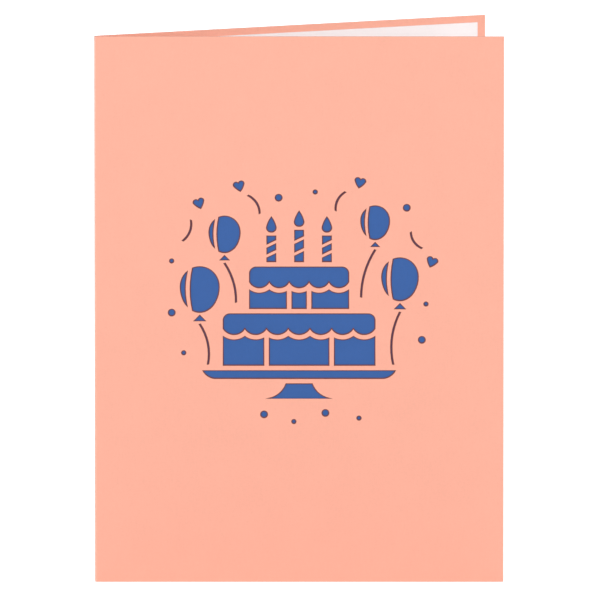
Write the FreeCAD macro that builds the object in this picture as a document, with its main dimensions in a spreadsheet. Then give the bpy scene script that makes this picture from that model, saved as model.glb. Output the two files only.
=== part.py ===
"""Pop-up greeting card: a folded cover with a stencil-cut front, its coloured backing,
a folded inner sheet, and a pop-up of three gift boxes that rises as the card opens.

Frame: +Z up along the spine fold, +X from the spine to the free edges, and the front
panel faces -Y. The card stands slightly open on its lower edges, and the origin is the
centre of its footprint. Lengths are in millimetres, angles in degrees.
"""

import FreeCAD, Part
import math
import os

import Sketcher

Vector = FreeCAD.Vector

# The driving sizes, all of which go into the spreadsheet.
SIZES = {
    "cover_width": 140.0,  # spine to free edge
    "cover_height": 190.0,
    "cover_thick": 0.35,
    "open_angle": 16.9,  # between the two panels, as the card stands
    "fold_radius": 0.5,  # inside the cover's spine fold
    "sheet_thick": 0.2,  # inner sheet
    "sheet_radius": 0.2,  # inside the inner sheet's own fold
    "side_margin": 2.8,  # cover left showing beside the inner sheet
    "top_margin": 2.4,  # and above and below it
    "backing_thick": 0.2,
    "backing_gap": 4.0,  # spine to the backing's near edge
    "paper_thick": 0.25,  # gift boxes, lids and bows
    "ribbon_thick": 0.2,
    "present_gap": 6.0,  # between two neighbouring boxes
    "seat_gap": 0.2,  # between a box's rim and the lid over it
    "lid_overhang": 1.5,
    "tab_inset": 3.0,  # glue tab to the box's end
    "tab_lap": 1.5,  # glue tab up the wall
    "lower_depth": 20.0,  # gutter to the wall's fold, along the panel
    "lower_rise": 20.0,  # the wall's fold to the box's rim
    "lower_length": 46.0,
    "lower_rim": 6.0,
    "lower_tab": 8.0,
    "lower_ribbon": 6.0,
    "lower_bow": 17.0,
    "lower_bow_tab": 9.5,
    "large_depth": 28.0,
    "large_rise": 36.0,
    "large_length": 68.0,
    "large_rim": 10.0,
    "large_tab": 12.0,
    "large_ribbon": 8.0,
    "large_bow": 22.0,
    "large_bow_tab": 13.0,
    "upper_depth": 18.0,
    "upper_rise": 26.0,
    "upper_length": 42.0,
    "upper_rim": 7.0,
    "upper_tab": 8.0,
    "upper_ribbon": 5.5,
    "upper_bow": 16.0,
    "upper_bow_tab": 9.0,
    "art_across": 70.0,  # spine to the middle of the stencil picture
    "art_up": 94.0,
    "art_drop": 30.0,  # the picture's middle to the cake stand's foot
    "art_grid": 1.0,  # a step of the grid on which balloons and confetti are placed
    "bridge": 1.8,  # card left standing between two windows
    "slit_width": 0.55,  # the thinnest cuts
    "foot_width": 25.0,
    "foot_neck": 9.0,
    "foot_high": 5.2,
    "foot_hollow": 1.6,
    "plate_width": 66.0,
    "plate_high": 2.8,
    "plate_taper": 4.0,
    "plate_swell": 0.6,
    "tier_one_width": 52.0,
    "tier_one_high": 18.0,
    "tier_two_width": 34.0,
    "tier_two_high": 14.5,
    "icing_high": 5.2,
    "icing_corner": 2.1,
    "drip": 2.1,
    "candle_width": 3.1,
    "candle_high": 9.0,
    "candle_extra": 2.0,  # what the middle candle stands over its neighbours
    "candle_pitch": 9.5,
    "candle_gap": 1.3,
    "flame_high": 5.4,
    "balloon_width": 13.4,
    "balloon_high": 16.0,
    "dot_large": 1.2,
    "dot_small": 0.75,
    "heart_high": 3.8,
}

# The gift boxes, upward from the card's lower edge.
PRESENTS = ("lower", "large", "upper")

# The cake's tiers: how many drips wide each window of their sides is.
TIER_ONE_COLUMNS = (2, 3, 2)
TIER_TWO_COLUMNS = (2, 1, 2)

# Places on the picture's grid, from its middle: x away from the spine and z up.
BALLOONS = (  # x, z, share of the full size, the string's end x and z, its bow
    (-34, 9, 1.0, -31.2, -18, -1.4),
    (-25.5, 28, 0.8, -21.6, 3.6, -1.1),
    (34.5, 12.5, 0.94, 32.2, -18, 1.6),
    (26, 32, 0.74, 21.2, 5.4, 1.2),
)
STREAMERS = (  # both ends and the bow
    (-13.5, 34.5, -17.5, 40.8, 1.1),
    (12.5, 35.5, 15.8, 42, -1.1),
    (-39.8, 25, -37, 32.2, 1.1),
    (38.2, 28, 42, 22.4, 1.0),
)
HEARTS = ((-20.5, 44, 14), (20.8, 45.2, -12), (-34.2, 38, 18), (45.4, 17.6, -20))
LARGE_DOTS = ((-7, 40), (36.8, 36.5), (-43.6, 0), (42, -9.5), (-12, -35.5), (9, -35))
SMALL_DOTS = ((5.5, 42), (-43.6, 18), (-39.5, -14), (43.4, 3), (-1.8, -38), (20.5, -36.8))

doc = FreeCAD.newDocument("pop_up_card")
sheet = doc.addObject("Spreadsheet::Sheet", "Sizes")
for row, (alias, value) in enumerate(SIZES.items(), start=1):
    sheet.set(f"A{row}", alias)
    sheet.set(f"B{row}", str(value))
    sheet.setAlias(f"B{row}", alias)
doc.recompute()


def size(alias):
    return float(sheet.get(alias))


def bind(thing, prop, text):
    """Ties a property to an expression, in which a size's bare name means its cell."""
    words = []
    for word in text.split():
        bare = word.strip("()")
        words.append(word.replace(bare, "Sizes." + bare) if bare in SIZES else word)
    thing.setExpression(prop, " ".join(words))


HALF = "( open_angle / 2 )"
PANEL = "( cover_width - fold_radius - cover_thick )"
FOLD_OUT = "( fold_radius + cover_thick )"

# The centre of the cover's fold arcs, seen from the card's origin.
FOLD_X = f"( {FOLD_OUT} - cover_width / 2 )"
FOLD_Y = f"( {FOLD_OUT} * ( 1 - cos( open_angle ) ) / 2 - {PANEL} * sin( open_angle ) / 2 )"

# The gutter, where the inner sheet's two faces would meet, seen from that centre.
GUTTER_X = f"( - backing_thick / 2 * tan( {HALF} ) - sheet_radius / tan( {HALF} ) )"
GUTTER_Y = "( backing_thick / 2 - sheet_radius )"


def stand(thing, label, x="0", y="0", z="0"):
    """Names a finished piece and moves it from the fold's centre to its place."""
    thing.Label = label
    bind(thing, "Placement.Base.x", f"{FOLD_X} + {x}")
    bind(thing, "Placement.Base.y", f"{FOLD_Y} + {y}")
    bind(thing, "Placement.Base.z", z)
    return thing


def stand_in_gutter(thing, label, z, out="0", aside="0"):
    """As stand, for a piece of the pop-up. In its frame x runs out from the gutter up the
    middle between the panels, and y aside from there."""
    bind(thing, "Placement.Rotation.Angle", HALF)
    x = f"{GUTTER_X} + {out} * cos( {HALF} ) - {aside} * sin( {HALF} )"
    y = f"{GUTTER_Y} + {out} * sin( {HALF} ) + {aside} * cos( {HALF} )"
    return stand(thing, label, x, y, z)


def sketch(name, rotation=FreeCAD.Rotation()):
    made = doc.addObject("Sketcher::SketchObject", name)
    made.Placement = FreeCAD.Placement(Vector(0, 0, 0), rotation)
    return made


def rule(made, name, text, *constraint):
    """One dimension of a sketch, named and tied to the sheet."""
    index = made.addConstraint(Sketcher.Constraint(*constraint))
    made.renameConstraint(index, name)
    bind(made, f"Constraints.{name}", text)


def hold(made, *constraints):
    for constraint in constraints:
        made.addConstraint(Sketcher.Constraint(*constraint))


def chain(made, points, closed=False):
    """Straight lines through the points, each joined to the next."""
    ends = points[1:] + points[:1] if closed else points[1:]
    for start, end in zip(points, ends):
        made.addGeometry(Part.LineSegment(start, end))
    for index in range(len(ends) - 1):
        hold(made, ("Coincident", index, 2, index + 1, 1))
    if closed:
        hold(made, ("Coincident", len(ends) - 1, 2, 0, 1))


def thicken(name, line, paper, side=1, fill=True, closed=False):
    """Gives a line the thickness of its paper: side 1 is the right of the way it was
    drawn or, round a closed line, its outside."""
    made = doc.addObject("Part::Offset2D", name)
    made.Source = line
    made.Mode = "Pipe" if closed else "Skin"
    made.Join = "Arc"
    made.Fill = fill
    bind(made, "Value", f"{side} * {paper}")
    return made


def extrude(name, base, direction, length, symmetric=False):
    made = doc.addObject("Part::Extrusion", name)
    made.Base = base
    made.DirMode = "Custom"
    made.Dir = direction
    made.Solid = True
    made.Symmetric = symmetric
    bind(made, "LengthFwd", length)
    return made


def boolean(kind, name, base, tool):
    made = doc.addObject(f"Part::{kind}", name)
    made.Base = base
    made.Tool = tool
    return made


class Outlines:
    """Collects closed outlines of lines and arcs in the plane of a sketch."""

    def __init__(self):
        self.curves = []

    def add(self, corners, x=0.0, y=0.0, lean=0.0):
        """Corners run counter-clockwise as (x, y, swell): swell is how far the side that
        starts there bows outward. The whole is leaned, then moved to (x, y)."""
        turn = FreeCAD.Rotation(Vector(0, 0, 1), lean)
        for (x0, y0, swell), (x1, y1, _) in zip(corners, corners[1:] + corners[:1]):
            start = turn * Vector(x0, y0, 0) + Vector(x, y, 0)
            end = turn * Vector(x1, y1, 0) + Vector(x, y, 0)
            if swell:
                way = (end - start).normalize()
                middle = (start + end) * 0.5 + Vector(way.y, -way.x, 0) * swell
                self.curves.append(Part.Arc(start, middle, end))
            else:
                self.curves.append(Part.LineSegment(start, end))

    def dot(self, x, y, radius):
        self.curves.append(Part.Circle(Vector(x, y, 0), Vector(0, 0, 1), radius))

    def slit(self, x0, y0, x1, y1, bow):
        """A thin curved cut with square ends, bowed to the right of its way."""
        half = size("slit_width") / 2
        length = math.hypot(x1 - x0, y1 - y0)
        corners = [(0, -half, bow), (length, -half, 0), (length, half, -bow), (0, half, 0)]
        self.add(corners, x0, y0, math.degrees(math.atan2(y1 - y0, x1 - x0)))


def mirror(corners):
    """The same outline on the other side of the y axis."""
    return [(-x, y, corners[index - 1][2]) for index, (x, y, _) in enumerate(corners)][::-1]


def symmetric(*half):
    """A whole outline from the corners of its right half, which run from its foot up."""
    right, left = list(half), mirror(half)
    left[-1] = (*left[-1][:2], 0)
    if half[-1][0] == 0:
        right.pop()
    if half[0][0] == 0:
        left.pop()
    return right + left


def folded_line(name, radius, length):
    """The inner face of a sheet folded at the spine, seen along it: the front panel
    along +X, the fold round the origin, and the back panel turned by the opening."""
    turn = math.radians(size("open_angle"))
    reach = size("cover_width")
    r = size(radius)
    made = sketch(name)
    nose = Vector(-r * math.sin(turn), r * math.cos(turn), 0)
    along = Vector(math.cos(turn), math.sin(turn), 0)
    circle = Part.Circle(Vector(0, 0, 0), Vector(0, 0, 1), r)
    made.addGeometry(Part.LineSegment(Vector(reach, -r, 0), Vector(0, -r, 0)))
    made.addGeometry(Part.ArcOfCircle(circle, math.pi / 2 + turn, 1.5 * math.pi))
    made.addGeometry(Part.LineSegment(nose, nose + along * reach))
    hold(made, ("Coincident", 1, 3, -1, 1), ("Horizontal", 0))
    hold(made, ("Tangent", 0, 2, 1, 2), ("Tangent", 2, 1, 1, 1))
    rule(made, "fold", radius, "Radius", 1, r)
    rule(made, "front_panel", length, "Distance", 0, reach)
    rule(made, "back_panel", length, "Distance", 2, reach)
    rule(made, "opening", "open_angle", "Angle", 2, turn)
    return made


def cake_tier(art, width, high, base, columns):
    """One tier: a window for the icing, whose drips hang below it, and under a bridge of
    even width the windows of the cake's side."""
    bridge, drip, corner = size("bridge"), size("drip"), size("icing_corner")
    half = width / 2
    reach = half / sum(columns)
    top = base + high
    edge = top - size("icing_high")
    icing = [(-half + 2 * reach * index, edge, drip) for index in range(sum(columns))]
    icing += [
        (half, edge, 0),
        (half, top - corner, 0.25 * corner),
        (half - corner, top, 0),
        (corner - half, top, 0.25 * corner),
        (-half, top - corner, 0),
    ]
    art.add(icing)

    radius = (reach**2 + drip**2) / (2 * drip)
    centre = edge - drip + radius
    under = radius + bridge
    first = 0
    for column in columns:
        last = first + column
        left = -half + 2 * reach * first + (bridge / 2 if first else 0)
        right = -half + 2 * reach * last - (bridge / 2 if last < sum(columns) else 0)
        side = [(left, base, 0), (right, base, 0)]
        for index in reversed(range(first, last)):
            middle = -half + reach * (2 * index + 1)
            start = min(right, middle + reach)
            end = max(left, middle - reach)
            start_up = centre - math.sqrt(under**2 - (start - middle) ** 2)
            end_up = centre - math.sqrt(under**2 - (end - middle) ** 2)
            chord = math.hypot(end - start, end_up - start_up)
            side.append((start, start_up, math.sqrt(under**2 - chord**2 / 4) - under))
        side.append((left, end_up, 0))
        art.add(side)
        first = last


def candle(art, x, base, high):
    """A candle of three windows parted by slanting bridges, and its flame."""
    half, gap, flame = size("candle_width") / 2, size("candle_gap"), size("flame_high")
    piece = (high - 2 * gap) / 3
    for index in range(3):
        low = index * (piece + gap)
        foot = half / 2 if index else 0
        head = half / 2 if index < 2 else 0
        corners = [
            (-half, low - foot, 0),
            (half, low + foot, 0),
            (half, low + piece + head, 0),
            (-half, low + piece - head, 0),
        ]
        art.add(corners, x, base)
    belly = 0.3 * flame
    drop = symmetric((0, 0, 0.4 * belly), (belly, 0.36 * flame, 0.12 * belly), (0, flame, 0))
    art.add(drop, x, base + high + gap)


def egg_side(wide, high, start, end, closing, steps):
    """An outline along an egg, fuller at its top, from one angle to another, counter-
    clockwise from the right, and back along a side with the closing swell."""

    def at(angle):
        turn = math.radians(angle)
        stretch = 0.88 if math.sin(turn) > 0 else 1.12
        return Vector(wide * math.cos(turn), high * stretch * math.sin(turn), 0)

    corners = []
    step = (end - start) / steps
    for index in range(steps):
        a, b = at(start + step * index), at(start + step * (index + 1))
        swell = at(start + step * (index + 0.5)).distanceToPoint((a + b) * 0.5)
        corners.append((a.x, a.y, swell))
    return corners + [(b.x, b.y, closing)]


def balloon(art, x, z, share, end_x, end_z, bow):
    """A balloon of two windows parted by a curved bridge, with its knot and string."""
    wide = share * size("balloon_width") / 2
    high = share * size("balloon_high") / 2
    bend = 0.12 * wide
    art.add(egg_side(wide, high, -112, 112, bend, steps=6), x, z)
    art.add(egg_side(wide, high, 128, 232, -bend, steps=4), x, z)
    knot = z - 1.12 * high - 0.5 * size("bridge")
    tie = 0.26 * high
    art.add(symmetric((tie, -tie, 0), (0, 0, 0)), x, knot)
    art.slit(x, knot - tie - 0.6 * size("bridge"), end_x, end_z, bow)


def heart(art, x, z, lean):
    high = size("heart_high")
    corners = symmetric(
        (0, -0.5 * high, 0.05 * high),
        (0.5 * high, 0.15 * high, 0.22 * high),
        (0, 0.28 * high, 0),
    )
    art.add(corners, x, z, lean)


def draw_cake(art):
    """A two-tier cake with three candles, on a stand."""
    bridge = size("bridge")
    base = -size("art_drop")
    foot = (size("foot_width") / 2, base, -size("foot_hollow"))
    neck = (size("foot_neck") / 2, base + size("foot_high"), 0)
    art.add(symmetric(foot, neck))
    base += size("foot_high") + bridge
    underside = (size("plate_width") / 2 - size("plate_taper"), base, size("plate_swell"))
    rim = (size("plate_width") / 2, base + size("plate_high"), 0)
    art.add(symmetric(underside, rim))
    base += size("plate_high") + bridge
    cake_tier(art, size("tier_one_width"), size("tier_one_high"), base, TIER_ONE_COLUMNS)
    base += size("tier_one_high") + bridge
    cake_tier(art, size("tier_two_width"), size("tier_two_high"), base, TIER_TWO_COLUMNS)
    base += size("tier_two_high") + bridge
    candle(art, -size("candle_pitch"), base, size("candle_high"))
    candle(art, 0, base, size("candle_high") + size("candle_extra"))
    candle(art, size("candle_pitch"), base, size("candle_high"))


def draw_party(art):
    """The balloons and the confetti round the cake."""
    grid = size("art_grid")
    for x, z, share, end_x, end_z, bow in BALLOONS:
        balloon(art, x * grid, z * grid, share, end_x * grid, end_z * grid, bow * grid)
    for streamer in STREAMERS:
        art.slit(*(place * grid for place in streamer))
    for x, z, lean in HEARTS:
        heart(art, x * grid, z * grid, lean)
    for x, z in LARGE_DOTS:
        art.dot(x * grid, z * grid, size("dot_large"))
    for x, z in SMALL_DOTS:
        art.dot(x * grid, z * grid, size("dot_small"))


def cover_windows():
    """The stencil picture as solids that cut through the front panel only."""
    art = Outlines()
    draw_cake(art)
    draw_party(art)
    made = sketch("CoverPicture", FreeCAD.Rotation(Vector(1, 0, 0), 90))
    made.addGeometry(art.curves)
    bind(made, "Placement.Base.x", f"art_across - {FOLD_OUT}")
    bind(made, "Placement.Base.z", "art_up")
    return extrude("CoverWindows", made, Vector(0, -1, 0), f"2 * {FOLD_OUT}")


def build_cover():
    """One sheet of card folded at the spine, its front panel cut through as a stencil."""
    line = folded_line("CoverLine", "fold_radius", PANEL)
    section = thicken("CoverSection", line, "cover_thick", side=-1)
    blank = extrude("CoverBlank", section, Vector(0, 0, 1), "cover_height")
    return stand(boolean("Cut", "Cover", blank, cover_windows()), "cover")


def build_inner_sheet():
    """The pale sheet inside, folded once, glued to the back panel and to the backing."""
    line = folded_line("InnerSheetLine", "sheet_radius", f"{PANEL} - side_margin")
    section = thicken("InnerSheetSection", line, "sheet_thick", side=-1)
    made = extrude("InnerSheet", section, Vector(0, 0, 1), "cover_height - 2 * top_margin")
    x = f"( - backing_thick / 2 * tan( {HALF} ) )"
    return stand(made, "inner_sheet", x, "backing_thick / 2", "top_margin")


def build_backing():
    """The coloured paper that shows through the windows, glued behind the front panel."""
    made = doc.addObject("Part::Box", "Backing")
    bind(made, "Length", "cover_width - side_margin - backing_gap")
    bind(made, "Width", "backing_thick")
    bind(made, "Height", "cover_height - 2 * top_margin")
    x = f"( backing_gap - {FOLD_OUT} )"
    return stand(made, "colour_backing", x, "( - fold_radius )", "top_margin")


class Present:
    """The expressions that place one gift box of the pop-up in the gutter's frame. Its
    walls stay parallel to the middle between the panels, at whatever opening."""

    def __init__(self, name):
        self.name = name
        self.title = name.capitalize()
        for part in ("depth", "rise", "length", "rim", "tab", "ribbon", "bow", "bow_tab"):
            setattr(self, part, f"{name}_{part}")
        below = PRESENTS[: PRESENTS.index(name)]
        row = " + ".join(f"{other}_length" for other in PRESENTS)
        start = f"( cover_height - ( {row} + {len(PRESENTS) - 1} * present_gap ) ) / 2"
        self.base = " + ".join([start, *(f"{other}_length + present_gap" for other in below)])
        self.middle = f"{self.base} + {self.length} / 2"
        self.foot = f"( {self.depth} * cos( {HALF} ) )"
        self.face = f"( {self.depth} * sin( {HALF} ) )"
        self.top = f"( {self.foot} + {self.rise} + seat_gap )"
        self.slope = f"( {self.depth} + paper_thick )"
        off = f"( paper_thick + ribbon_thick ) * {self.slope} / {self.face}"
        ridge = f"{self.top} + sqrt( {self.slope} ^ 2 - {self.face} ^ 2 )"
        self.knee = f"( {ridge} + {off} )"

    def number(self, part):
        return size(f"{self.name}_{part}")

    def fold(self):
        """Where a wall folds from its panel, as the first guess of a sketch."""
        half = math.radians(size("open_angle") / 2)
        return Vector(math.cos(half), math.sin(half), 0) * self.number("depth")


def box_tube(present):
    """A box's two walls and its two end walls, which fold inward at their middle."""
    fold, length = present.fold(), present.number("length")
    inside = fold.y - size("paper_thick")
    loop = sketch(f"{present.title}BoxLine", FreeCAD.Rotation(Vector(1, 1, 1), 120))
    corners = [
        Vector(-inside, 0, 0),
        Vector(0, fold.x, 0),
        Vector(inside, 0, 0),
        Vector(inside, length, 0),
        Vector(0, length - fold.x, 0),
        Vector(-inside, length, 0),
    ]
    chain(loop, corners, closed=True)
    hold(loop, ("Vertical", 2), ("Vertical", 5), ("Equal", 2, 5), ("Equal", 0, 3))
    hold(loop, ("PointOnObject", 0, 1, -1), ("Symmetric", 0, 1, 1, 2, -2))
    hold(loop, ("PointOnObject", 0, 2, -2), ("PointOnObject", 3, 2, -2))
    spread = f"2 * {present.face} - 2 * paper_thick"
    rule(loop, "spread", spread, "Distance", 0, 1, 1, 2, 2 * inside)
    rule(loop, "wall", present.length, "Distance", 2, length)
    rule(loop, "end_half", f"{present.depth} - paper_thick", "Distance", 0, fold.x)
    bind(loop, "Placement.Base.x", present.foot)
    section = thicken(f"{present.title}BoxSection", loop, "paper_thick", closed=True)
    return extrude(f"{present.title}BoxTube", section, Vector(1, 0, 0), present.rise)


def glue_tab(present):
    """The tab that turns in under the back wall and is glued to the panel there."""
    fold, tab, lap = present.fold(), present.number("tab"), size("tab_lap")
    line = sketch(f"{present.title}TabLine")
    near = fold * (1 - tab / present.number("depth"))
    chain(line, [near, fold, fold + Vector(lap, 0, 0)])
    hold(line, ("Horizontal", 1))
    rule(line, "fold_out", present.foot, "DistanceX", -1, 1, 0, 2, fold.x)
    rule(line, "fold_aside", present.face, "DistanceY", -1, 1, 0, 2, fold.y)
    rule(line, "tab", present.tab, "Distance", 0, tab)
    rule(line, "lap", "tab_lap", "Distance", 1, lap)
    rule(line, "lean", HALF, "Angle", 0, math.radians(size("open_angle") / 2))
    strip = thicken(f"{present.title}TabSection", line, "paper_thick")
    length = f"{present.length} - 2 * tab_inset"
    made = extrude(f"{present.title}BackTab", strip, Vector(0, 0, 1), length)
    bind(made, "Placement.Base.z", "tab_inset")
    return made


def build_box(present):
    """A box folded from one piece of paper, with a glue tab on each panel."""
    back_tab = glue_tab(present)
    front_tab = doc.addObject("Part::Mirroring", f"{present.title}FrontTab")
    front_tab.Source = back_tab
    front_tab.Normal = Vector(0, 1, 0)
    made = doc.addObject("Part::MultiFuse", f"{present.title}Box")
    made.Shapes = [box_tube(present), back_tab, front_tab]
    made.Refine = True
    return stand_in_gutter(made, f"{present.name}_box", present.base)


def lid_line(present):
    """The lid's inner face seen along the spine: rim, slope, ridge, slope and rim."""
    fold, rim = present.fold(), present.number("rim")
    top = fold.x + present.number("rise") + size("seat_gap")
    line = sketch(f"{present.title}LidLine")
    corners = [
        Vector(top - rim, -fold.y, 0),
        Vector(top, -fold.y, 0),
        Vector(top + fold.x, 0, 0),
        Vector(top, fold.y, 0),
        Vector(top - rim, fold.y, 0),
    ]
    chain(line, corners)
    hold(line, ("Horizontal", 0), ("Horizontal", 3), ("Equal", 0, 3))
    hold(line, ("Symmetric", 0, 2, 2, 2, -1), ("PointOnObject", 1, 2, -1))
    rule(line, "rim", present.rim, "Distance", 0, rim)
    rule(line, "top", present.top, "DistanceX", -1, 1, 0, 2, top)
    rule(line, "spread", f"2 * {present.face}", "Distance", 0, 2, 2, 2, 2 * fold.y)
    rule(line, "slope", present.slope, "Distance", 1, present.number("depth"))
    return line


def build_lid(present, line):
    """The lid, creased along its ridge and glued to the box by its two rims."""
    section = thicken(f"{present.title}LidSection", line, "paper_thick")
    length = f"{present.length} + 2 * lid_overhang"
    made = extrude(f"{present.title}Lid", section, Vector(0, 0, 1), length)
    return stand_in_gutter(made, f"{present.name}_lid", f"{present.base} - lid_overhang")


def build_lid_ribbon(present, line):
    """The ribbon that runs over the lid from rim to rim."""
    face = thicken(f"{present.title}LidFace", line, "paper_thick", fill=False)
    section = thicken(f"{present.title}LidRibbonSection", face, "ribbon_thick")
    made = extrude(f"{present.title}LidRibbon", section, Vector(0, 0, 1), present.ribbon)
    start = f"{present.middle} - {present.ribbon} / 2"
    return stand_in_gutter(made, f"{present.name}_lid_ribbon", start)


def build_wall_ribbon(present, label, aside):
    """The ribbon up one wall of the box, from just off the panel to the lid's rim."""
    made = doc.addObject("Part::Box", f"{present.title}{label.capitalize()}Ribbon")
    clear = f"( 1.2 * ribbon_thick / tan( {HALF} ) )"
    bind(made, "Length", f"{present.rise} - {present.rim} - {clear}")
    bind(made, "Width", "ribbon_thick")
    bind(made, "Height", present.ribbon)
    start = f"{present.middle} - {present.ribbon} / 2"
    out = f"( {present.foot} + {clear} )"
    return stand_in_gutter(made, f"{present.name}_{label}_ribbon", start, out, aside)


def bow_block(present, name, art):
    """Extrudes outlines drawn on the middle plane straight through both bow shapes."""
    outline = sketch(f"{name}Outline", FreeCAD.Rotation(Vector(1, 1, 1), -120))
    outline.addGeometry(art.curves)
    bind(outline, "Placement.Base.x", present.knee)
    return extrude(f"{name}Block", outline, Vector(0, 1, 0), present.bow, symmetric=True)


def bow_cutter(present):
    """What cuts out a bow: two loops with their holes, two tails, and the stem that lies
    down the lid. Its y is 0 at the knee, where the stem folds off the ridge."""
    tall, stem = present.number("bow"), present.number("ribbon") / 2
    shape = Outlines()
    silhouette = symmetric(
        (stem, -tall, 0),
        (stem, 0.07 * tall, 0),
        (0.7 * tall, 0.02 * tall, 0),
        (0.63 * tall, 0.11 * tall, 0),
        (0.72 * tall, 0.2 * tall, 0),
        (0.15 * tall, 0.27 * tall, 0.05 * tall),
        (0.78 * tall, 0.4 * tall, 0.1 * tall),
        (0.8 * tall, 0.84 * tall, 0.14 * tall),
        (0.32 * tall, 0.8 * tall, 0),
        (0.1 * tall, 0.46 * tall, 0),
    )
    shape.add(silhouette)
    loops = Outlines()
    hole = [
        (0.28 * tall, 0.44 * tall, 0.04 * tall),
        (0.68 * tall, 0.52 * tall, 0.1 * tall),
        (0.66 * tall, 0.76 * tall, 0.06 * tall),
    ]
    loops.add(hole)
    loops.add(mirror(hole))
    base = bow_block(present, f"{present.title}Bow", shape)
    tool = bow_block(present, f"{present.title}BowLoops", loops)
    return boolean("Cut", f"{present.title}BowCutter", base, tool)


def build_bow(present, label, cutter, side):
    """One of the two cut shapes that stand on the ridge, glued back to back. Its tab
    lies down its own slope of the lid, on the ribbon."""
    name = present.title + label.capitalize()
    tall, tab, depth = present.number("bow"), present.number("bow_tab"), present.number("depth")
    slope = depth + size("paper_thick")
    lean = math.asin(present.fold().y / slope)
    off = (size("paper_thick") + size("ribbon_thick")) / math.sin(lean)
    knee = Vector(depth + present.number("rise") + slope + off, 0, 0)
    down = Vector(-math.cos(lean), side * math.sin(lean), 0)
    line = sketch(f"{name}BowLine")
    chain(line, [knee + Vector(tall, 0, 0), knee, knee + down * tab])
    hold(line, ("PointOnObject", 0, 1, -1), ("PointOnObject", 0, 2, -1))
    rule(line, "knee", present.knee, "DistanceX", -1, 1, 0, 2, knee.x)
    rule(line, "tall", present.bow, "Distance", 0, tall)
    rule(line, "tab", present.bow_tab, "Distance", 1, tab)
    angle = f"180 deg - {side} * asin( {present.face} / {present.slope} )"
    rule(line, "lean", angle, "Angle", 1, math.pi - side * lean)
    strip = thicken(f"{name}BowSection", line, "paper_thick", side)
    length = f"2 * {present.bow}"
    blank = extrude(f"{name}BowBlank", strip, Vector(0, 0, 1), length, symmetric=True)
    made = boolean("Common", f"{name}Bow", blank, cutter)
    return stand_in_gutter(made, f"{present.name}_{label}_bow", present.middle)


def build_present(name):
    present = Present(name)
    line = lid_line(present)
    cutter = bow_cutter(present)
    return [
        build_box(present),
        build_lid(present, line),
        build_lid_ribbon(present, line),
        build_wall_ribbon(present, "back", present.face),
        build_wall_ribbon(present, "front", f"( - {present.face} - ribbon_thick )"),
        build_bow(present, "back", cutter, 1),
        build_bow(present, "front", cutter, -1),
    ]


pieces = [build_cover(), build_backing(), build_inner_sheet()]
for present_name in PRESENTS:
    pieces += build_present(present_name)
doc.recompute()

for thing in doc.Objects:
    if "Invalid" in thing.State or "Error" in thing.State:
        raise RuntimeError(f"{thing.Label} failed: {thing.State}")

os.makedirs("parts", exist_ok=True)
for piece in pieces:
    if piece.Shape.isNull() or not piece.Shape.isValid():
        raise RuntimeError(f"{piece.Label} has no valid shape")
    piece.Shape.exportStep(os.path.join("parts", piece.Label + ".step"))
    print(f"{piece.Label}: {len(piece.Shape.Solids)} solid, {piece.Shape.Volume:.1f} mm3")
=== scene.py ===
import math

import bpy
import numpy as np
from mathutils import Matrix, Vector


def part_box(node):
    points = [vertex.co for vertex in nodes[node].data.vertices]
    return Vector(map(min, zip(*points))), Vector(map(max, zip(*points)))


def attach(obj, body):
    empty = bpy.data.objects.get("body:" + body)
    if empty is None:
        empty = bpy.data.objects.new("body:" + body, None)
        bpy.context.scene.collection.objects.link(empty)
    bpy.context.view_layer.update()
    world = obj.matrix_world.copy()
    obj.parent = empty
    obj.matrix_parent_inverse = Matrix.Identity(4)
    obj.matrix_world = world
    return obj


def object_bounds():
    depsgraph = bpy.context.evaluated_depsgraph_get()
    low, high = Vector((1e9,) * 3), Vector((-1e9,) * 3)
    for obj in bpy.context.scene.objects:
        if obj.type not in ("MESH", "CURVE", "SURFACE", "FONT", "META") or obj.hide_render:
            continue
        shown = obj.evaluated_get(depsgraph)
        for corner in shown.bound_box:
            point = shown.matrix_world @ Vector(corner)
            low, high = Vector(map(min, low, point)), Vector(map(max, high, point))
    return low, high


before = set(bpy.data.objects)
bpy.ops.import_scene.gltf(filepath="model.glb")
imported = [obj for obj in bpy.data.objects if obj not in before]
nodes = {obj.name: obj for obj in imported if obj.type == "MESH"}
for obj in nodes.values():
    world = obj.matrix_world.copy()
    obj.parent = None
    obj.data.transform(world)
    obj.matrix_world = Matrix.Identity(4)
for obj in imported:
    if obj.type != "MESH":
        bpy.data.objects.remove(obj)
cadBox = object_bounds()
mm = 0.001
print("frame loaded:", len(nodes), "nodes")


# The card as it stands: how far it is open, its papers' thicknesses and its folds.
card = {
    "openDegrees": 16.9,
    "coverMm": 0.35,
    "foldMm": 0.5,  # inside the cover's fold
    "sheetFoldMm": 0.2,  # inside the inner sheet's fold
    "backingMm": 0.2,
    "paperMm": 0.25,  # gift boxes, lids and bows
    "seatMm": 0.2,  # between a box's rim and the lid over it
}
halfOpen = math.radians(card["openDegrees"]) / 2
outward = np.array([math.cos(halfOpen), math.sin(halfOpen), 0.0])  # midway between the panels
through = np.array([-math.sin(halfOpen), math.cos(halfOpen), 0.0])  # from there to the back panel
upward = np.array([0.0, 0.0, 1.0])
foldOut = (card["foldMm"] + card["coverMm"]) * mm
fold = np.array([cadBox[0].x + foldOut, cadBox[0].y + foldOut, 0.0])  # centre of the cover's fold
gutterMm = [
    -card["backingMm"] / 2 * math.tan(halfOpen) - card["sheetFoldMm"] / math.tan(halfOpen),
    card["backingMm"] / 2 - card["sheetFoldMm"],
    0.0,
]
gutter = fold + np.array(gutterMm) * mm  # where the inner sheet's two faces would meet


# Turns an sRGB hex value into the linear colour that nodes take.
def colour(hexValue):
    parts = np.array([int(hexValue[i : i + 2], 16) for i in (1, 3, 5)]) / 255
    linear = np.where(parts <= 0.04045, parts / 12.92, ((parts + 0.055) / 1.055) ** 2.4)
    return (*(float(part) for part in linear), 1.0)


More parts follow.
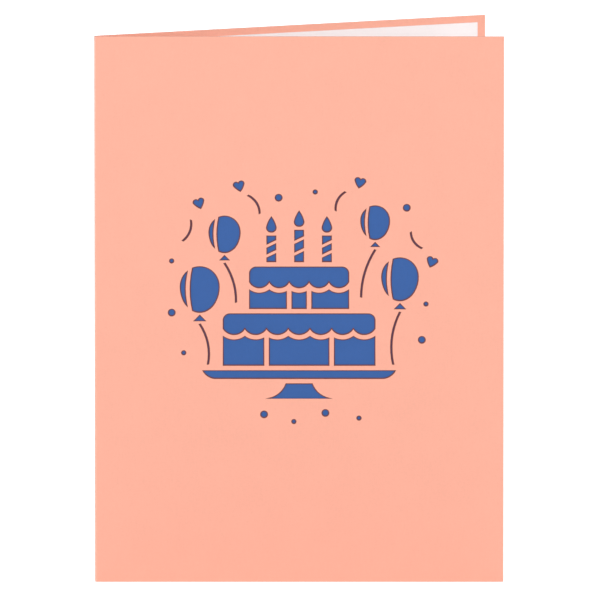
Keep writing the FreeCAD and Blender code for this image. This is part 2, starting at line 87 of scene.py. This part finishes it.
# Adds a node with its settings. An input that is given a socket is linked to it, one that is
# given a node is linked to that node's first output, and any other is set. A number as its key
# counts sockets: Map Range takes a span from 1 to 2 and gives one from 3 to 4, and Mix has its
# colours at 6 and 7 and gives their mixture at output 2.
def addNode(tree, kind, inputs=None, **settings):
    node = tree.nodes.new("ShaderNode" + kind)
    for name, value in settings.items():
        setattr(node, name, value)
    for key, value in (inputs or {}).items():
        source = value.outputs[0] if isinstance(value, bpy.types.Node) else value
        if isinstance(source, bpy.types.NodeSocket):
            tree.links.new(source, node.inputs[key])
        else:
            node.inputs[key].default_value = source
    return node


def emptyMaterial(name):
    material = bpy.data.materials.new(name)
    material.use_nodes = True
    material.node_tree.nodes.clear()
    return material, material.node_tree


# An object at the origin that holds a mesh, a lamp or a camera, put into the scene.
def newObject(name, data):
    made = bpy.data.objects.new(name, data)
    bpy.context.scene.collection.objects.link(made)
    return made


# Puts a camera or a lamp at its place, looking at the aim with no roll.
def lookAt(thing, place, aim):
    thing.location = place
    thing.rotation_mode = "QUATERNION"
    thing.rotation_quaternion = (Vector(aim) - Vector(place)).to_track_quat("-Z", "Y")


# The photograph's view, square to the front and a little from above.
photoCamera = {
    "elevation": 10.9,  # degrees above the table
    "distance": 8.0,
    "lensMm": 1403.0,
    "sensorMm": 36.0,
    "nearest": 0.1,
    "furthest": 60.0,
    "aim": (0.0003, -0.0211, 0.0984),
}


# The camera stands back from the aim along its line of sight.
def makeCamera(look):
    data = bpy.data.cameras.new("photoCamera")
    data.sensor_width = look["sensorMm"]
    data.lens = look["lensMm"]
    data.clip_start = look["nearest"]
    data.clip_end = look["furthest"]
    camera = newObject("photoCamera", data)
    rise = math.radians(look["elevation"])
    back = Vector((0.0, -math.cos(rise), math.sin(rise)))
    lookAt(camera, Vector(look["aim"]) + back * look["distance"], look["aim"])
    bpy.context.scene.camera = camera


makeCamera(photoCamera)
print("camera placed")


# A white studio: even light from all round, and large soft lamps well off.
studio = {
    "sky": "#FFFFFF",
    "skyStrength": 0.31,  # what lights the papers from all round
    "shownStrength": 1.0,  # what the camera and reflections see behind the card
    "lamps": {  # place, size, watts: each lamp looks at the card's middle
        "keyLamp": ((-2.0, -5.0, 2.3), 2.4, 178.0),
        "fillLamp": ((2.8, -4.8, 0.9), 2.4, 40.0),
        "mouthLamp": ((5.0, -0.2, 1.8), 2.4, 10.0),
        "backLamp": ((0.4, 5.2, 2.4), 2.4, 190.0),
    },
    "middle": (0.0, 0.0, 0.095),
}


# One where the ray comes from the camera, a reflection or through glass, else nought.
def seenRay(tree):
    path = addNode(tree, "LightPath")
    seen = path.outputs["Is Camera Ray"]
    for other in ("Is Glossy Ray", "Is Transmission Ray"):
        seen = addNode(tree, "Math", {0: seen, 1: path.outputs[other]}, operation="MAXIMUM")
    return seen


def makeWorld(look):
    world = bpy.data.worlds.new("whiteStudio")
    world.use_nodes = True
    tree = world.node_tree
    tree.nodes.clear()
    sky = colour(look["sky"])
    light = addNode(tree, "Background", {"Color": sky, "Strength": look["skyStrength"]})
    white = addNode(tree, "Background", {"Color": sky, "Strength": look["shownStrength"]})
    shown = addNode(tree, "MixShader", {0: seenRay(tree), 1: light, 2: white})
    addNode(tree, "OutputWorld", {"Surface": shown})
    bpy.context.scene.world = world


def makeLamps(look):
    for name, (place, size, watts) in look["lamps"].items():
        data = bpy.data.lights.new(name, "AREA")
        data.shape = "DISK"
        data.size = size
        data.energy = watts
        lookAt(newObject(name, data), place, look["middle"])


# Matt white paint on a smooth board: it takes the card's soft shadow and shows no grain.
table = {
    "half": 3.0,
    "drop": 0.00005,  # below the card's lower edge
    "paint": "#F0F0F0",
    "lift": 0.62,  # white that only the camera and reflections see, so that it stays white
    "liftColour": "#FFFFFF",
}


# A flat square: its corners are minus and plus half a side, both ways.
def makeTable(look):
    across, along = np.meshgrid([-1.0, 1.0], [-1.0, 1.0])
    points = np.stack([across, along, np.zeros_like(across)], -1).reshape(-1, 3) * look["half"]
    points[:, 2] = -look["drop"]
    mesh = bpy.data.meshes.new("whiteTable")
    mesh.from_pydata(points.tolist(), [], [(0, 1, 3, 2)])
    material, tree = emptyMaterial("mattWhiteTable")
    paint = addNode(tree, "BsdfDiffuse", {"Color": colour(look["paint"])})
    strength = addNode(tree, "Math", {0: seenRay(tree), 1: look["lift"]}, operation="MULTIPLY")
    lift = addNode(tree, "Emission", {"Color": colour(look["liftColour"]), "Strength": strength})
    both = addNode(tree, "AddShader", {0: paint, 1: lift})
    addNode(tree, "OutputMaterial", {"Surface": both})
    mesh.materials.append(material)
    piece = newObject("whiteTable", mesh)


makeWorld(studio)
makeLamps(studio)
makeTable(table)
print("light, world and table made")


# What all the card's papers share: pulp settles in clouds, its surface is fine felt with fibres
# lying in it, and the calender leaves it matt with a little sheen at a low angle.
pulp = {
    "cloudMm": 11.0,  # formation clouds
    "grainMm": 0.75,  # felt of the surface, drawn coarser than its 0.1 mm so that it shows
    "fibreLongMm": 3.2,
    "fibreWideMm": 0.38,  # drawn coarser than a fibre's 0.03 mm so that it shows
    "fibreRelief": 0.5,  # how high a fibre lies, by the felt's height
    "noiseRoughness": 0.55,
    "toneSpan": (0.25, 0.75),  # the noise that makes a paper's darkest and palest tones
    "shineSpan": (0.3, 0.7),  # the felt at its smoothest and roughest
    "shineSwing": 0.06,  # how far the roughness goes from the paper's own, either way
    "edgeTurn": 0.9,  # a face turned further than this cosine from the sheet is a cut edge
    "bendMm": 0.5,  # how far out from the fold's centre the cover's faces still turn
    "inkEdgeMm": 0.05,  # half the soft edge of printed ink
    "sheen": 0.04,
    "specular": 0.3,
}


# The sheet's own coordinates: x out from the gutter, y through the sheets, z up the fold.
def sheetCoordinates(tree):
    place = addNode(tree, "TexCoord").outputs["Object"]
    sheet = {"Vector": place, "Location": gutter, "Rotation": (0.0, 0.0, halfOpen)}
    return addNode(tree, "Mapping", sheet, vector_type="TEXTURE")


# What a noise takes to have patches of a real size.
def noiseOf(place, sizeMm, detail=2.0):
    return {
        "Vector": place,
        "Scale": 1 / (sizeMm * mm),
        "Detail": detail,
        "Roughness": pulp["noiseRoughness"],
    }


# Fibres: noise drawn out along the sheet one way, and again across it, whichever is higher.
def fibres(tree, place):
    long, wide = 1 / (pulp["fibreLongMm"] * mm), 1 / (pulp["fibreWideMm"] * mm)
    ways = []
    for scale in ((long, wide, wide), (wide, wide, long)):
        drawn = addNode(tree, "Mapping", {"Vector": place, "Scale": scale})
        ways.append(addNode(tree, "TexNoise", {"Vector": drawn, "Scale": 1.0, "Detail": 1.0}))
    return addNode(tree, "Math", {0: ways[0], 1: ways[1]}, operation="MAXIMUM")


# One on cut edges, whose normal lies in the sheet, and nought on its two faces. Near the cover's
# fold the faces turn with it, so there only the sheet's ends count.
def cutEdge(tree, folded):
    place = addNode(tree, "TexCoord")
    normal = place.outputs["Normal"]
    facing = addNode(tree, "VectorMath", {0: normal, 1: through}, operation="DOT_PRODUCT")
    square = addNode(tree, "Math", {0: facing.outputs["Value"]}, operation="ABSOLUTE")
    if folded:
        ways = addNode(tree, "SeparateXYZ", {0: normal})
        end = addNode(tree, "Math", {0: ways.outputs[2]}, operation="ABSOLUTE")
        level = addNode(tree, "Math", {0: 1.0, 1: end}, operation="SUBTRACT")
        spot = addNode(tree, "SeparateXYZ", {0: place.outputs["Object"]})
        bend = float(fold[0]) + pulp["bendMm"] * mm
        near = addNode(tree, "Math", {0: spot.outputs[0], 1: bend}, operation="LESS_THAN")
        rounded = addNode(tree, "Math", {0: near, 1: level}, operation="MULTIPLY")
        square = addNode(tree, "Math", {0: square, 1: rounded}, operation="MAXIMUM")
    return addNode(tree, "Math", {0: square, 1: pulp["edgeTurn"]}, operation="LESS_THAN")


# The paper's tone at each point: 1, plus each noise's swing times its share.
def paperTone(tree, shares):
    low, high = pulp["toneSpan"]
    tone = 1.0
    for source, share in shares:
        span = {"Value": source, 1: low, 2: high, 3: -share, 4: share}
        swing = addNode(tree, "MapRange", span, clamp=False)
        tone = addNode(tree, "Math", {0: tone, 1: swing}, operation="ADD")
    return tone


# Ink printed before the paper was cut. Dots stand where two crossed waves meet; stripes lean
# over the sheet at 45 degrees.
def printedInk(tree, place, look):
    ink = look["print"]
    pitch = ink["pitchMm"] * mm
    spot = addNode(tree, "SeparateXYZ", {0: place})
    swings = []
    for way in ("ADD", "SUBTRACT"):
        lean = addNode(tree, "Math", {0: spot.outputs[0], 1: spot.outputs[2]}, operation=way)
        swings.append(addNode(tree, "Math", {0: lean, 1: pitch / 2}, operation="PINGPONG"))
    off = swings[0]
    if ink["kind"] == "dots":
        squares = [addNode(tree, "Math", {0: one, 1: one}, operation="MULTIPLY") for one in swings]
        total = addNode(tree, "Math", {0: squares[0], 1: squares[1]}, operation="ADD")
        off = addNode(tree, "Math", {0: total, 1: 0.5}, operation="POWER")
    size, soft = ink["sizeMm"] / 2 * mm, pulp["inkEdgeMm"] * mm
    mask = addNode(tree, "MapRange", {"Value": off, 1: size - soft, 2: size + soft, 3: 1.0, 4: 0.0})
    inks = {0: mask, 6: colour(look["face"]), 7: colour(ink["ink"])}
    return addNode(tree, "Mix", inks, data_type="RGBA").outputs[2]


# Where paper is creased, the fibres of its face crack and show pale.
creaseWear = {
    "streakMm": 0.9,
    "coreMm": 0.12,  # as pale as it gets up to here, each side of the crease
    "reachMm": 0.5,  # and sound from here on
}


# Bands at given distances from the gutter, broken up by noise.
def crackedFibres(tree, place, look, face):
    core, reach = creaseWear["coreMm"] * mm, creaseWear["reachMm"] * mm
    spot = addNode(tree, "SeparateXYZ", {0: place})
    streak = addNode(tree, "TexNoise", noiseOf(place, creaseWear["streakMm"], 3.0))
    share = 0.0
    for at in look["creaseMm"]:
        off = addNode(tree, "Math", {0: spot.outputs[0], 1: at * mm}, operation="SUBTRACT")
        gap = addNode(tree, "Math", {0: off}, operation="ABSOLUTE")
        band = addNode(tree, "MapRange", {"Value": gap, 1: core, 2: reach, 3: 1.0, 4: 0.0})
        share = addNode(tree, "Math", {0: share, 1: band}, operation="MAXIMUM")
    worn = addNode(tree, "Math", {0: share, 1: streak}, operation="MULTIPLY")
    cracked = {0: worn, 6: face, 7: colour(look["crease"])}
    return addNode(tree, "Mix", cracked, data_type="RGBA").outputs[2]


# Linen pressed into the card by a roller: the product of two crossed waves, a thread apart.
def linenPress(tree, place, look, height):
    turns = math.tau / (look["linenMm"] * mm)
    spot = addNode(tree, "SeparateXYZ", {0: place})
    ribs = []
    for axis in (0, 2):
        turn = addNode(tree, "Math", {0: spot.outputs[axis], 1: turns}, operation="MULTIPLY")
        ribs.append(addNode(tree, "Math", {0: turn}, operation="SINE"))
    cloth = addNode(tree, "Math", {0: ribs[0], 1: ribs[1]}, operation="MULTIPLY")
    pressed = {0: cloth, 1: look["linen"], 2: height}
    return addNode(tree, "Math", pressed, operation="MULTIPLY_ADD")


# Uncoated paper or card dyed in the pulp and cut by laser: matt, with faint clouds, felt and
# fibres, and a scorched cut edge. A look may add printed ink, creases and a linen finish.
def paper(look):
    material, tree = emptyMaterial(look["name"])
    place = sheetCoordinates(tree)
    cloud = addNode(tree, "TexNoise", noiseOf(place, pulp["cloudMm"], 3.0))
    felt = addNode(tree, "TexNoise", noiseOf(place, pulp["grainMm"]))
    hair = fibres(tree, place)
    tone = paperTone(tree, [(cloud, look["cloud"]), (felt, look["felt"]), (hair, look["hair"])])
    face = colour(look["face"])
    if "print" in look:
        face = printedInk(tree, place, look)
    if "creaseMm" in look:
        face = crackedFibres(tree, place, look, face)
    flat = face if isinstance(face, bpy.types.NodeSocket) else face[:3]
    toned = addNode(tree, "VectorMath", {0: flat, "Scale": tone}, operation="SCALE")
    edge = cutEdge(tree, look.get("folded", False))
    skin = addNode(tree, "Mix", {0: edge, 6: toned, 7: colour(look["edge"])}, data_type="RGBA")
    smooth, coarse = pulp["shineSpan"]
    least, most = look["roughness"] - pulp["shineSwing"], look["roughness"] + pulp["shineSwing"]
    rough = addNode(tree, "MapRange", {"Value": felt, 1: smooth, 2: coarse, 3: least, 4: most})
    height = addNode(tree, "Math", {0: hair, 1: pulp["fibreRelief"], 2: felt}, operation="MULTIPLY_ADD")
    if "linen" in look:
        height = linenPress(tree, place, look, height)
    bump = addNode(tree, "Bump", {"Strength": 1.0, "Distance": look["bumpMm"] * mm, "Height": height})
    finish = {
        "Base Color": skin.outputs[2],
        "Roughness": rough,
        "Normal": bump,
        "Sheen Weight": pulp["sheen"],
        "Specular IOR Level": pulp["specular"],
    }
    shader = addNode(tree, "BsdfPrincipled", finish)
    addNode(tree, "OutputMaterial", {"Surface": shader})
    return material


# Peach card, cut by laser: one warm, even, matt colour, tan where the beam ran through it and
# rubbed pale along the spine.
coverLook = {
    "name": "peachCardLaserCut",
    "face": "#FDB59F",
    "edge": "#B8867A",
    "cloud": 0.012,
    "felt": 0.018,
    "hair": 0.016,
    "roughness": 0.86,
    "bumpMm": 0.012,
    "folded": True,
    "creaseMm": [0.55],  # the spine, from the gutter
    "crease": "#FFD9CB",
}
# Blue sugar paper, trimmed by knife: deep and dull, so that the windows read as flat colour.
backingLook = {
    "name": "bluePaperPlain",
    "face": "#3B63A5",
    "edge": "#3A5A92",
    "cloud": 0.02,
    "felt": 0.03,
    "hair": 0.025,
    "roughness": 0.84,
    "bumpMm": 0.01,
}
# Writing paper with a blush of pink, calendered: the palest and smoothest sheet in the card.
sheetLook = {
    "name": "blushWhitePaperSmooth",
    "face": "#FFF9F9",
    "edge": "#E4CFC8",
    "cloud": 0.012,
    "felt": 0.01,
    "hair": 0.01,
    "roughness": 0.8,
    "bumpMm": 0.008,
    "folded": True,
}
# Uncoated craft paper, which the gift boxes and their lids are cut and folded from: a soft dull
# colour that is pale along the creases and dark along each cut.
boxPaper = {"cloud": 0.015, "felt": 0.02, "hair": 0.02, "roughness": 0.84, "bumpMm": 0.01}
creases = {"box": "#E9E2DC", "lid": "#FFF1EA"}
# Dyes of the presents' paper and card, each with the colour that the laser leaves its edge.
dyes = {
    "blue": {"face": "#4369A9", "edge": "#5A4A62"},
    "peach": {"face": "#FBB39D", "edge": "#B07F6E"},
    "white": {"face": "#F6F3EF", "edge": "#C9B8A6"},
    "coral": {"face": "#E0705F", "edge": "#8E4B40"},
}
# Linen card, embossed between rollers: fine crossed ribs that break up the light on the ribbons.
# The ribs stand 0.7 mm apart and 1.6 times as high as the felt.
linenCard = {**boxPaper, "bumpMm": 0.02, "linen": 1.6, "linenMm": 0.7}
# Each present's box is dotted or striped paper, its lid is plain, and its ribbon and bow are
# linen card. The gutter to the walls' fold is its depth, and from there to the rim its rise.
presentLooks = {
    "large": {
        "depthMm": 28.0,
        "riseMm": 36.0,
        "box": {
            **dyes["blue"],
            "name": "bluePaperDotted",
            "print": {"kind": "dots", "ink": "#F3F0EC", "pitchMm": 5.0, "sizeMm": 1.3},
        },
        "lid": {**dyes["peach"], "name": "peachPaperFolded"},
        "ribbon": {**dyes["white"], "name": "whiteCardLinen"},
        "slot": "white_card",
    },
    "upper": {
        "depthMm": 18.0,
        "riseMm": 26.0,
        "box": {
            **dyes["peach"],
            "name": "peachPaperStriped",
            "print": {"kind": "stripes", "ink": "#F8DDD2", "pitchMm": 4.2, "sizeMm": 1.5},
        },
        "lid": {**dyes["white"], "name": "whitePaperFolded"},
        "ribbon": {**dyes["blue"], "name": "blueCardLinen"},
        "slot": "blue_card",
    },
    "lower": {
        "depthMm": 20.0,
        "riseMm": 20.0,
        "box": {
            **dyes["white"],
            "name": "whitePaperDotted",
            "print": {"kind": "dots", "ink": "#E38C7A", "pitchMm": 4.0, "sizeMm": 1.1},
        },
        "lid": {**dyes["blue"], "name": "bluePaperFolded"},
        "ribbon": {**dyes["coral"], "name": "coralCardLinen"},
        "slot": "coral_card",
    },
}


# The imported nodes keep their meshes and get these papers.
def dressNode(name, material):
    mesh = nodes[name].data
    mesh.materials.clear()
    mesh.materials.append(material)


# A box is creased where its walls fold from their tabs. Its lid is creased where the slopes fold
# from the rims, and along the ridge.
def dressPresent(present, looks):
    foot = looks["depthMm"] * math.cos(halfOpen)
    top = foot + looks["riseMm"] + card["seatMm"]
    ridge = top + foot + card["paperMm"]
    box = {**boxPaper, **looks["box"], "creaseMm": [foot], "crease": creases["box"]}
    lid = {**boxPaper, **looks["lid"], "creaseMm": [top, ridge], "crease": creases["lid"]}
    dressNode(present + "_box", paper(box))
    dressNode(present + "_lid", paper(lid))
    ribbon = paper({**linenCard, **looks["ribbon"]})
    for part in ("lid_ribbon", "back_ribbon", "front_ribbon", "back_bow", "front_bow"):
        dressNode(present + "_" + part, ribbon)


dressNode("cover", paper(coverLook))
dressNode("colour_backing", paper(backingLook))
dressNode("inner_sheet", paper(sheetLook))
for present, looks in presentLooks.items():
    dressPresent(present, looks)
print("papers given to the packed nodes")


# A pleated knot on the middle of each bow, glued over both of its cut shapes. Shares are of the
# bow's height above the ridge.
bowKnot = {
    "spanShare": 1.78,  # the bow's width over its loops
    "fromTopShare": 0.62,  # the knot's middle below the loops' tops
    "acrossShare": 0.17,  # half its width
    "alongShare": 0.125,  # half its height
    "proudMm": 0.65,  # over the cut shape on each side
    "squareness": 3.2,  # 2 is an ellipse
    "flatness": 0.55,  # 1 is a ball seen from the side
    "pleats": 3.0,
    "pleatShare": 0.09,  # how deep they press, by its thickness
    "steps": (31, 64),  # from pole to pole, and round
}


# A pillow between two poles. Going round, a point follows a rounded oblong: its sides are a
# cosine and a sine, each to the power 2 by the squareness. Going from pole to pole it spreads by
# a cosine to the power of the flatness and rises by a sine, which the pleats' waves press down.
def makeKnot(present, looks, look):
    low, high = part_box(present + "_back_bow")
    tall = (high.z - low.z) / look["spanShare"]
    out = (high.x - gutter[0]) / math.cos(halfOpen) - look["fromTopShare"] * tall
    layers, around = look["steps"]
    rise = np.linspace(-math.pi / 2, math.pi / 2, layers + 2)[1:-1, None]
    turn = np.linspace(0, math.tau, around, endpoint=False)[None, :]
    bend = 2 / look["squareness"]
    spread = np.cos(rise) ** look["flatness"]
    side = np.sign(np.cos(turn)) * np.abs(np.cos(turn)) ** bend * spread
    along = np.sign(np.sin(turn)) * np.abs(np.sin(turn)) ** bend * spread
    press = 1 - look["pleatShare"] * (1 - np.cos(math.tau * look["pleats"] * side)) / 2
    deep = np.sin(rise) * press
    poles = np.array([[0.0, 0.0, -1.0], [0.0, 0.0, 1.0]])
    shape = np.concatenate([np.stack([side, along, deep], -1).reshape(-1, 3), poles])
    thick = (card["paperMm"] + look["proudMm"]) * mm
    shape *= [look["acrossShare"] * tall, look["alongShare"] * tall, thick]
    middle = gutter + outward * out + upward * (low.z + high.z) / 2
    points = middle + shape[:, 1:2] * outward + shape[:, 2:] * through + shape[:, :1] * upward
    index = np.arange(layers * around).reshape(layers, around)
    beside = np.roll(index, -1, axis=1)
    quads = np.stack([index[:-1], beside[:-1], beside[1:], index[1:]], -1).reshape(-1, 4)
    first, last = layers * around, layers * around + 1
    under = np.stack([beside[0], index[0], np.full(around, first)], -1)
    over = np.stack([index[-1], beside[-1], np.full(around, last)], -1)
    name = present + "Knot"
    mesh = bpy.data.meshes.new(name)
    mesh.from_pydata(points.tolist(), [], quads.tolist() + under.tolist() + over.tolist())
    mesh.shade_smooth()
    ribbon = looks["ribbon"]
    uncut = {"name": ribbon["name"] + "Folded", "edge": ribbon["face"]}
    mesh.materials.append(paper({**linenCard, **ribbon, **uncut}))
    piece = newObject(name, mesh)
    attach(piece, "root")


for present, looks in presentLooks.items():
    makeKnot(present, looks, bowKnot)
print("knots put on the bows")


# The browned rim that the laser leaves round every window, darkest at the cut's wall, with painted
# shadow on the blue backing below the cut.
rimLook = {
    "reachMm": 0.2,  # how far the scorch runs over the card's face
    "proudMm": 0.02,  # how high the melted fibres stand
    "wallMm": 0.07,  # how far they stand into the window
    "shadeFootMm": 0.24,  # how far painted shadow lies on the backing below the cut
    "clearMm": 0.01,  # left between that painted shadow and the backing
    "borderMm": 4.0,  # nearer than this to the card's outline there is no window
    "mitreCap": 1.5,  # the furthest that a corner's mitre runs, by the reach
    "sameSpot": 1e-7,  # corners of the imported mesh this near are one
    "sameFace": 1e-6,  # and this near to the front's plane lie in it
    # the darkest colour: real soot on the cut's wall, plus painted shade on that wall and on the
    # backing below it, where the cut lies in shadow
    "sootAndShade": "#744850",
    "sootAndShadeFrom": (0.5, 1.0),  # where brown turns to soot and painted shade
    "brown": "#7E4A44",
    "brownFrom": (0.05, 0.5),  # where card turns to brown
    "card": "#F3AC97",
    "patchMm": 1.4,
    "patchSpan": (0.3, 0.7),
    "patchShares": (0.75, 1.1),  # how strongly the least and the most burnt patches are scorched
    "grainMm": 0.2,
    "bumpMm": 0.01,
    "roughness": 0.9,
    "specular": 0.2,
}


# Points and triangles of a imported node, with its doubled points merged.
def mergedMesh(node, step):
    mesh = node.data
    points = np.empty(len(mesh.vertices) * 3)
    mesh.vertices.foreach_get("co", points)
    corners = np.empty(len(mesh.loops), dtype=np.int64)
    mesh.loops.foreach_get("vertex_index", corners)
    spots, merged = np.unique(np.round(points.reshape(-1, 3) / step), axis=0, return_inverse=True)
    return spots * step, merged.ravel()[corners].reshape(-1, 3)


# Every cut edge of the flat front: an edge that only one of its triangles has. Each is directed
# with the card on its left, seen from the front; those of the card's own outline are left out.
def windowEdges(look):
    spots, triangles = mergedMesh(nodes["cover"], look["sameSpot"])
    front = spots[:, 1].min()
    flat = (spots[triangles, 1] < front + look["sameFace"]).all(axis=1)
    triangles = triangles[flat]
    edges = np.concatenate([triangles[:, [0, 1]], triangles[:, [1, 2]], triangles[:, [2, 0]]])
    ends = np.sort(edges, axis=1)
    _, which, count = np.unique(ends, axis=0, return_inverse=True, return_counts=True)
    edges = edges[count[which.ravel()] == 1]
    low, high = spots.min(axis=0), spots.max(axis=0)
    middle = spots[edges].mean(axis=1)
    border = look["borderMm"] * mm
    inside = (middle > low + border) & (middle < high - border)
    edges = edges[inside[:, 0] & inside[:, 2]]
    used, edges = np.unique(edges, return_inverse=True)
    return spots[used], edges.reshape(-1, 2)


# Card fibres browned by the laser and fading to the card's own colour, with soot and painted shade at
# the cut and painted shadow on the backing below it, so that each window has a thin dark line round it.
def scorchedAndShadedFibre(look):
    material, tree = emptyMaterial("scorchedAndShadedCardFibre")
    # How dark each point is: real scorch on the card's face, soot and painted shade on the cut's wall,
    # painted shadow on the backing
    scorchAndShade = addNode(tree, "Attribute", attribute_name="scorchAndShade").outputs["Fac"]
    place = sheetCoordinates(tree)
    patch = addNode(tree, "TexNoise", noiseOf(place, look["patchMm"], 3.0))
    low, high = look["patchSpan"]
    least, most = look["patchShares"]
    share = addNode(tree, "MapRange", {"Value": patch, 1: low, 2: high, 3: least, 4: most})
    burntAndShaded = addNode(tree, "Math", {0: scorchAndShade, 1: share}, operation="MULTIPLY")
    skin = colour(look["card"])
    # Card turns to brown scorch, then to soot and painted shade
    for darkening in ("brown", "sootAndShade"):
        start, end = look[darkening + "From"]
        darkened = addNode(tree, "MapRange", {"Value": burntAndShaded, 1: start, 2: end, 3: 0.0, 4: 1.0})
        layers = {0: darkened, 6: skin, 7: colour(look[darkening])}
        skin = addNode(tree, "Mix", layers, data_type="RGBA").outputs[2]
    grain = addNode(tree, "TexNoise", noiseOf(place, look["grainMm"]))
    bump = addNode(tree, "Bump", {"Distance": look["bumpMm"] * mm, "Height": grain})
    finish = {
        "Base Color": skin,
        "Roughness": look["roughness"],
        "Specular IOR Level": look["specular"],
        "Normal": bump,
    }
    shader = addNode(tree, "BsdfPrincipled", finish)
    addNode(tree, "OutputMaterial", {"Surface": shader})
    return material


# A closed profile carried along every window's edge. A point of it is the edge's point, plus the mean
# direction into the card times the profile's reach, plus its depth along Y. It runs over the card's
# face, down the cut's wall and out over the backing, where it is painted shadow.
def makeRims(look):
    ring, edges = windowEdges(look)
    way = ring[edges[:, 1]] - ring[edges[:, 0]]
    way /= np.linalg.norm(way, axis=1, keepdims=True)
    side = np.stack([-way[:, 2], np.zeros(len(way)), way[:, 0]], axis=1)
    total = np.zeros_like(ring)
    np.add.at(total, edges[:, 0], side)
    np.add.at(total, edges[:, 1], side)
    length = np.linalg.norm(total, axis=1, keepdims=True)
    mitre = total / length * np.minimum(2 / length, look["mitreCap"])
    reach, proud = look["reachMm"] * mm, look["proudMm"] * mm
    wall, foot = look["wallMm"] * mm, look["shadeFootMm"] * mm
    deep = (card["coverMm"] - look["clearMm"]) * mm
    profile = np.array(
        [  # into the card, depth, scorch and painted shade
            (reach, 0.0, 0.0),
            (0.65 * reach, -0.5 * proud, 0.35),
            (0.3 * reach, -proud, 0.85),
            (-wall, -0.3 * proud, 1.0),
            (-wall, 0.8 * deep, 1.0),
            # the foot: painted shadow on the backing below the cut
            (-foot, deep, 0.9),
            (wall, deep, 1.0),
            (reach, 0.5 * proud, 0.0),
        ]
    )
    depth = np.array([0.0, 1.0, 0.0])
    points = ring[:, None] + mitre[:, None] * profile[:, :1] + depth * profile[:, 1:2]
    count = len(profile)
    step = np.arange(count)
    after = (step + 1) % count
    start, end = edges[:, :1] * count, edges[:, 1:] * count
    faces = np.stack([start + step, end + step, end + after, start + after], axis=-1)
    mesh = bpy.data.meshes.new("scorchedAndShadedRims")
    mesh.from_pydata(points.reshape(-1, 3).tolist(), [], faces.reshape(-1, 4)[:, ::-1].tolist())
    scorchAndShade = mesh.attributes.new("scorchAndShade", "FLOAT", "POINT")
    scorchAndShade.data.foreach_set("value", np.tile(profile[:, 2], len(ring)).astype(np.float32))
    mesh.update()
    mesh.materials.append(scorchedAndShadedFibre(look))
    piece = newObject("scorchedAndShadedRims", mesh)
    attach(piece, "root")


makeRims(rimLook)
print("window rims scorched")

bpy.context.scene.view_settings.view_transform = "Standard"
